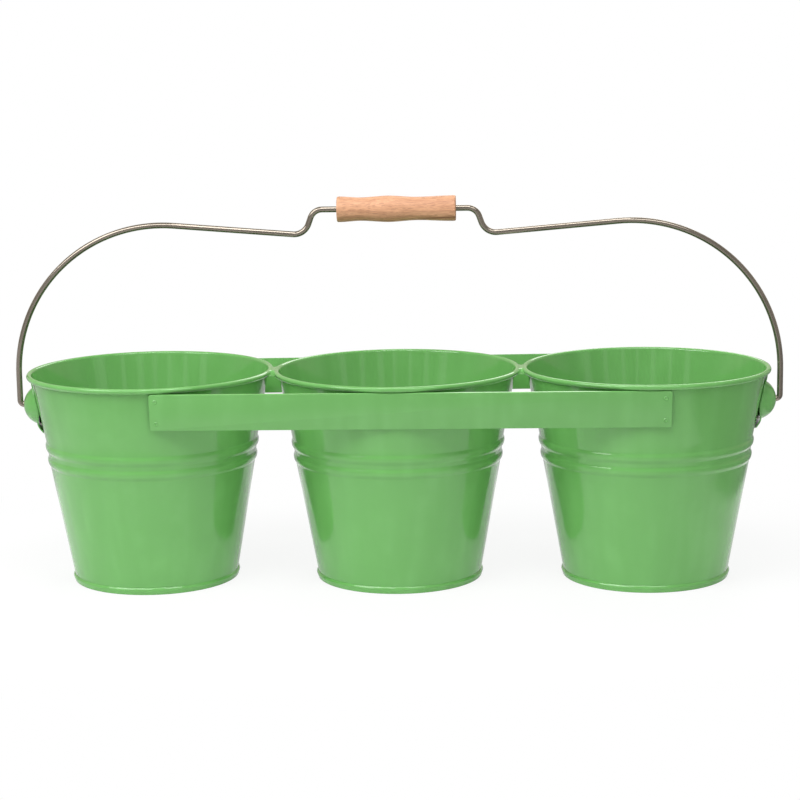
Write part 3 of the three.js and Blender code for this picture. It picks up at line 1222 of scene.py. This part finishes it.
class Rod:
    """Round rod in the X-Z plane, grown from its middle bend by bend."""

    flow_squeeze: float = 0.03

    def __init__(self, start: Vector, radius: float, sides: int) -> None:
        """Starts with a ring across X.

        Args:
            start: Centre of the ring.
            radius: The rod's radius.
            sides: Sides of the ring.
        """
        self.mesh = bmesh.new()
        self.layer = self.mesh.verts.layers.float_vector.new(FLOW)
        self.place = start.copy()
        self.heading = 0.0
        self.length = 0.0
        self.radius = radius
        seat = Matrix.Translation(start) @ Matrix.Rotation(math.pi / 2, 4, "Y")
        bmesh.ops.create_circle(self.mesh, radius=radius, segments=sides, matrix=seat)
        self.ring = self.mesh.verts[:]
        self.front = self.mesh.edges[:]
        for index, vertex in enumerate(self.ring):
            vertex[self.layer] = around_z(2 * math.pi * index / sides) * radius

    def grow(self, length: float) -> None:
        """Adds a ring and counts the length to it.

        Args:
            length: Length of rod to the ring.
        """
        self.ring, self.front = grown(self.mesh, self.front)
        self.length += length
        for vertex in self.ring:
            vertex[self.layer].z = self.length * self.flow_squeeze

    def straight(self, length: float, steps: int = 1) -> None:
        """Grows straight on.

        Args:
            length: How far.
            steps: Rings along it.
        """
        for _ in range(steps):
            self.grow(length / steps)
            move = around_y(self.heading) * length / steps
            bmesh.ops.translate(self.mesh, vec=move, verts=self.ring)
            self.place += move

    def bend(self, radius: float, turn: float, steps: int) -> None:
        """Grows round a bend.

        Args:
            radius: Of the rod's centre line.
            turn: Change of heading in radians, positive from +X towards +Z.
            steps: Rings round the bend.
        """
        across = self.heading + math.copysign(math.pi / 2, turn)
        centre = self.place + around_y(across) * radius
        matrix = Matrix.Rotation(-turn / steps, 3, "Y")
        for _ in range(steps):
            self.grow(radius * abs(turn) / steps)
            bmesh.ops.rotate(self.mesh, cent=centre, matrix=matrix, verts=self.ring)
            self.place = centre + matrix @ (self.place - centre)
            self.heading += turn / steps

    def flare(self, radius: float, length: float) -> None:
        """Grows on to another radius, with the rod running along X.

        Args:
            radius: The new radius.
            length: Length over which it changes.
        """
        self.straight(length)
        across = radius / self.radius
        space = Matrix.Translation(-self.place)
        bmesh.ops.scale(self.mesh, vec=(1, across, across), space=space, verts=self.ring)
        self.radius = radius

    def mirrored(self) -> BMesh:
        """Closes the end, adds the mirror image across X and returns the mesh."""
        bmesh.ops.edgeloop_fill(self.mesh, edges=self.front)
        geometry = self.mesh.verts[:] + self.mesh.edges[:] + self.mesh.faces[:]
        bmesh.ops.mirror(self.mesh, geom=geometry, merge_dist=WELD, axis="X")
        bmesh.ops.remove_doubles(self.mesh, verts=self.mesh.verts[:], dist=WELD)
        return self.mesh


@dataclass
class Bail:
    """Wire bail bent from one length, with upset heads inside the ears."""

    ear: Ear
    steel: Material
    wire: float = 1.8 * MM
    sides: int = 28
    leg_gap: float = 0.5 * MM
    leg_bend: float = 2.6 * MM
    leg_bend_steps: int = 10
    leg_steps: int = 3
    head: float = 3.2 * MM
    head_edge: float = 0.45 * MM
    head_length: float = 2 * MM
    head_setback: float = 4 * MM
    bow_radius: float = 90.5 * MM
    bow_rise: float = 87.8 * MM
    bow_steps: int = 40
    handle_rise: float = 96.3 * MM
    handle_half: float = 43.8 * MM
    handle_step: float = 14.8 * MM
    straight_steps: int = 6
    step_bend: float = 7.3 * MM
    low_bend: float = 9.3 * MM
    step_angle: float = math.radians(70)
    step_steps: int = 12

    @property
    def handle_height(self) -> float:
        """Height of the straight handle."""
        return self.ear.shape.height + self.handle_rise

    def build(self) -> None:
        """Builds and dresses the bail."""
        rod = Rod(Vector((0, 0, self.handle_height)), self.wire, self.sides)
        rod.straight(self.handle_half, self.straight_steps)
        self.add_bow(rod)
        self.add_leg(rod)
        tag = Tag("bail_rod", Body.BAIL, Slot.WIRE, ("bail_wire",))
        tag.apply(rod.mirrored(), self.steel)

    def add_bow(self, rod: Rod) -> None:
        """Grows the step down from the handle and the long bow, which share a tangent line.

        Args:
            rod: The rod, grown to the handle's end.
        """
        step, radius = self.step_angle, self.low_bend
        bends_drop = (self.step_bend + radius) * (1 - math.cos(step))
        rod.bend(self.step_bend, -step, self.step_steps)
        rod.straight((self.handle_step - bends_drop) / math.sin(step))
        low_centre = rod.place + around_y(rod.heading + math.pi / 2) * radius
        leg = self.ear.crown + self.leg_gap + self.wire
        top = self.ear.shape.height + self.bow_rise
        gap = Vector((leg - self.bow_radius, 0, top - self.bow_radius)) - low_centre
        lean = math.asin((radius + self.bow_radius) / gap.length)
        rise = math.atan2(gap.z, gap.x) + lean
        rod.bend(radius, rise + step, self.step_steps)
        rod.straight(gap.length * math.cos(lean), self.straight_steps)
        rod.bend(self.bow_radius, -rise - math.pi / 2, self.bow_steps)

    def add_leg(self, rod: Rod) -> None:
        """Grows the leg, the bend into the ear and the head.

        Args:
            rod: The rod, grown to the bow's end.
        """
        rod.straight(rod.place.z - self.ear.hinge - self.leg_bend, self.leg_steps)
        rod.bend(self.leg_bend, -math.pi / 2, self.leg_bend_steps)
        middle = self.ear.crown - self.ear.sheet - self.head_setback
        rod.straight(rod.place.x - middle - self.head_length / 2)
        edge = self.head_edge
        rod.flare(self.head - edge, 0)
        rod.flare(self.head, edge)
        rod.flare(self.head, self.head_length - 2 * edge)
        rod.flare(self.head - edge, edge)


@dataclass
class Grip:
    """Turned wooden grip, bored for the wire."""

    bail: Bail
    beech: Material
    length: float = 71.5 * MM
    shift: float = 1.1 * MM
    end_radius: float = 7.7 * MM
    waist_radius: float = 7 * MM
    belly_radius: float = 7.9 * MM
    places: Triple = (14 * MM, 31 * MM, 48 * MM)
    edge: float = 0.9 * MM
    edge_steps: int = 5
    bore: float = 2.15 * MM
    sink: float = 0.35 * MM
    sink_steps: int = 3
    spokes: int = 72
    stations: int = 44
    ripple: float = 0.06 * MM
    ripple_from: float = 1.5  # of the bore's radius
    ripple_pitch: Triple = (90, 160, 160)

    def build(self) -> None:
        """Builds and dresses the grip."""
        half, edge, end, sink = self.length / 2, self.edge, self.end_radius, self.sink
        section = [
            *arc((-half + sink, self.bore + sink), sink, 270, 180, self.sink_steps),
            *arc((-half + edge, end - edge), edge, 180, 95, self.edge_steps),
            *(Vector((x, 0, self.radius(x))) for x in self.station_places()),
            *arc((half - edge, end - edge), edge, 85, 0, self.edge_steps),
            *arc((half - sink, self.bore + sink), sink, 0, -90, self.sink_steps),
        ]
        mesh = turned(section, (1, 0, 0), self.spokes, True)
        pitch = Vector(self.ripple_pitch)
        for vertex in mesh.verts:
            around = Vector((0, vertex.co.y, vertex.co.z))
            if around.length > self.bore * self.ripple_from:
                vertex.co += around.normalized() * noise.noise(vertex.co * pitch) * self.ripple
        store_flow(mesh, lambda place: place.copy())
        place = Vector((self.shift, 0, self.bail.handle_height))
        bmesh.ops.translate(mesh, vec=place, verts=mesh.verts[:])
        tag = Tag("turned_grip", Body.GRIP, Slot.WOOD, ("wooden_grip",))
        tag.apply(mesh, self.beech)

    def station_places(self) -> list[float]:
        """Places along the grip between its rounded ends."""
        reach = self.length / 2 - self.edge
        return [reach * (2 * index / self.stations - 1) for index in range(self.stations + 1)]

    def radius(self, along: float) -> float:
        """Radius at a place along the grip, easing from one named radius to the next.

        Args:
            along: Distance from the grip's middle.

        Returns:
            The radius.
        """
        half, waist = self.length / 2, self.waist_radius
        places = (-half + self.edge, *(place - half for place in self.places), half - self.edge)
        radii = (self.end_radius, waist, self.belly_radius, waist, self.end_radius)
        stops = list(zip(places, radii))
        for (low, start), (high, end) in zip(stops, stops[1:]):
            if along <= high:
                return start + (end - start) * smooth_step(low, high, along)
        return self.end_radius


@dataclass(frozen=True)
class Lamp:
    """Square soft lamp aimed at the row."""

    name: str
    place: Triple
    size: float
    power: float
    aim: Triple = (0, 0, 0.08)

    def build(self) -> None:
        """Adds the lamp."""
        light = bpy.data.lights.new(self.name, "AREA")
        light.shape = "SQUARE"
        light.size = self.size
        light.energy = self.power
        lamp = linked(self.name, light)
        lamp.location = self.place
        toward = Vector(self.aim) - Vector(self.place)
        lamp.rotation_euler = toward.to_track_quat("-Z", "Y").to_euler()


@dataclass(frozen=True)
class Camera:
    """Camera at the photograph's viewpoint."""

    place: Triple = (0.0549, -1.29725, 0.3361)
    yaw: float = 0.0411
    pitch: float = 0.1735
    roll: float = -0.0151
    sensor: float = 36
    focal_length: float = 97.24
    farthest: float = 100

    def build(self) -> None:
        """Adds the camera and makes it the scene's own."""
        data = bpy.data.cameras.new("view")
        data.sensor_width = self.sensor
        data.lens = self.focal_length
        data.clip_end = self.farthest
        camera = linked("view", data)
        turn = Matrix.Rotation(self.yaw, 4, "Z")
        tilt = Matrix.Rotation(math.pi / 2 - self.pitch, 4, "X")
        lean = Matrix.Rotation(self.roll, 4, "Z")
        camera.matrix_world = Matrix.Translation(self.place) @ turn @ tilt @ lean
        bpy.context.scene.camera = camera


@dataclass
class Studio:
    """White studio: soft lamps over a pale floor, and a surround that mirrors dimmer.

    Levels are shares of plain white. The spans named after a direction are limits of that
    part of a ray's direction, between which the surround changes.
    """

    lamps: tuple[Lamp, ...] = (
        Lamp("key_softbox", (-0.70, -0.52, 0.84), 0.6, 5.7),
        Lamp("left_softbox", (-0.28, -0.62, 0.84), 0.34, 1.7),
        Lamp("right_softbox", (0.32, -0.57, 0.84), 0.34, 1.5),
        Lamp("top_softbox", (0, -0.35, 1.05), 0.4, 3.0),
        Lamp("back_softbox", (0.25, 0.9, 0.75), 0.6, 3.0),
    )
    floor_half: float = 30
    floor_roughness: float = 0.9
    floor_specular: float = 0.1
    floor_colour: Colour = (0.86, 0.86, 0.86, 1)
    # Painted shade: the floor is darker away from the row, as if lit by a pool of light near it
    painted_shade_colour: Colour = (0.62, 0.62, 0.62, 1)
    floor_stretch: Triple = (0.55, 1, 1)
    painted_shade_span: Span = (0.2, 0.3)
    white_fade: Span = (0.16, 0.27)
    # Painted shadow: the floor also turns darker past the row's right end
    side_shadow_span: Span = (0.29, 0.34)
    white_share: float = 0.87
    mirror_share: float = 0.4
    # Painted reflections of shade: levels of the floor's glow in mirrors, away from the row and
    # past its right end
    mirrored_shade_level: float = 0.64
    mirrored_shadow_level: float = 0.45
    ambient: float = 0.56
    room_shade: float = 0.3
    room_span: Span = (-0.3, 0.3)
    overhead_level: float = 0.4
    overhead_span: Span = (0.35, 0.85)
    backdrop_shade: Colour = (0.56, 0.53, 0.44, 1)
    window_pitch: float = 24
    window_level: float = 1.0
    window_edge: Span = (0.35, 0.85)
    window_top: Span = (0.3, 0.5)
    window_side: Span = (-0.45, -0.15)

    def build(self) -> None:
        """Builds the floor, lamps, world and camera."""
        self.build_floor()
        for lamp in self.lamps:
            lamp.build()
        self.build_world()
        Camera().build()
        bpy.context.scene.view_settings.view_transform = "Standard"

    def build_floor(self) -> None:
        """Adds the floor, which fades to white away from the row."""
        mesh = bmesh.new()
        bmesh.ops.create_grid(mesh, x_segments=1, y_segments=1, size=self.floor_half)
        data = baked(mesh, "floor")
        data.materials.append(self.floor_material())
        floor = linked("floor", data)

    def floor_material(self) -> Material:
        """Returns the floor's material, which the camera and the mirrors see differently."""
        material, bench, shader = new_material("pale_floor")
        place = bench.place()
        reach = bench.vector("LENGTH", {0: bench.mapped(place, self.floor_stretch)})
        # Painted shade mask: 1 away from the row, and 1 past its right end where the painted
        # shadow lies
        painted_side_shadow = bench.ranged(bench.parts(place)["X"], self.side_shadow_span)
        painted_shade_mask = bench.math("MAXIMUM", bench.ranged(reach, self.painted_shade_span), painted_side_shadow)
        inputs = {
            "Base Color": bench.blend(painted_shade_mask, self.floor_colour, self.painted_shade_colour),
            "Roughness": self.floor_roughness,
            "Specular IOR Level": self.floor_specular,
        }
        bench.feed(shader.inputs, inputs)
        clear, glossy = bench.rays()
        white = bench.ranged(reach, self.white_fade, (self.white_share, 1))
        near = bench.ranged(painted_shade_mask, (0, 1), (self.mirror_share, 1))
        mirrored = bench.math("MULTIPLY", glossy, near)
        share = bench.math("MAXIMUM", bench.math("MULTIPLY", white, clear), mirrored)
        # Painted reflections of shade: in mirrors the floor's glow dims away from the row, and
        # more past its right end
        mirrored_shade = bench.ranged(painted_shade_mask, (0, 1), (1, self.mirrored_shade_level))
        mirrored_side_shadow = bench.ranged(painted_side_shadow, (0, 1), (1, self.mirrored_shadow_level))
        level = bench.math("MAXIMUM", clear, bench.math("MULTIPLY", mirrored_shade, mirrored_side_shadow))
        glow = bench.add("ShaderNodeEmission", {"Color": WHITE, "Strength": level}).outputs[0]
        mixed = bench.add("ShaderNodeMixShader", {0: share, 1: shader.outputs[0], 2: glow})
        bench.feed(bench.tree.nodes["Material Output"].inputs, {"Surface": mixed.outputs[0]})
        return material

    def build_world(self) -> None:
        """Sets a white surround, dimmer in mirror images of the room before the row."""
        world = bpy.data.worlds.new("studio")
        bpy.context.scene.world = world
        world.use_nodes = True
        bench = NodeBench(world.node_tree)
        clear, glossy = bench.rays()
        parts = bench.parts(bench.add("ShaderNodeTexCoord").outputs["Generated"])
        behind = bench.ranged(parts["Y"], self.room_span, (self.room_shade, 1))
        overhead = bench.ranged(parts["Z"], self.overhead_span, (0, self.overhead_level))
        bars = bench.math("SINE", bench.math("MULTIPLY", parts["X"], self.window_pitch))
        bars = bench.ranged(bars, self.window_edge, (0, self.window_level))
        low = bench.ranged(parts["Z"], self.window_top, (1, 0))
        front = bench.ranged(parts["Y"], self.window_side, (1, 0))
        windows = bench.math("MULTIPLY", bars, low, front)
        mirrored = bench.math("MAXIMUM", behind, overhead, windows)
        plain = bench.math("MULTIPLY", bench.math("SUBTRACT", 1.0, glossy), self.ambient)
        seen = bench.math("ADD", plain, bench.math("MULTIPLY", glossy, mirrored))
        dull = bench.math("MULTIPLY", glossy, behind)
        inputs = {
            "Color": bench.blend(dull, WHITE, self.backdrop_shade),
            "Strength": bench.math("MAXIMUM", clear, seen),
        }
        bench.feed(world.node_tree.nodes["Background"].inputs, inputs)


@dataclass
class Carrier:
    """The whole object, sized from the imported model."""

    effects: Effects = field(default_factory=Effects)
    rear_tilt: float = -0.4

    def build(self) -> None:
        """Builds every piece in order."""
        low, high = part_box("middle_pot_wall")
        shape = PotShape(height=high.z, rim_radius=(high.x - low.x) / 2)
        right_low, right_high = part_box("right_pot_wall")
        pitch = (right_low.x + right_high.x) / 2
        enamel = Enamel(self.effects).material()
        steel = BareSteel(self.effects).material()
        for place, name in zip((-pitch, 0, pitch), ("left", "middle", "right")):
            Pot(name, shape, place, enamel).build()
        for side in Side:
            RimWeb(side, shape, side.value * pitch / 2, enamel).build()
        Strap(Face.FRONT, shape, enamel).build()
        Strap(Face.REAR, shape, enamel, self.rear_tilt).build()
        ears = {side: Ear(side, shape, pitch, enamel) for side in Side}
        for ear in ears.values():
            ear.build()
        bail = Bail(ears[Side.RIGHT], steel)
        bail.build()
        middle = (Grip.shift, 0, bail.handle_height)
        Grip(bail, Beech(self.effects, middle).material()).build()


def main() -> None:
    """Builds the carrier and its studio."""
    logging.basicConfig(level=logging.INFO, format="%(message)s")
    Carrier().build()
    Studio().build()


if __name__ == "__main__":
    main()
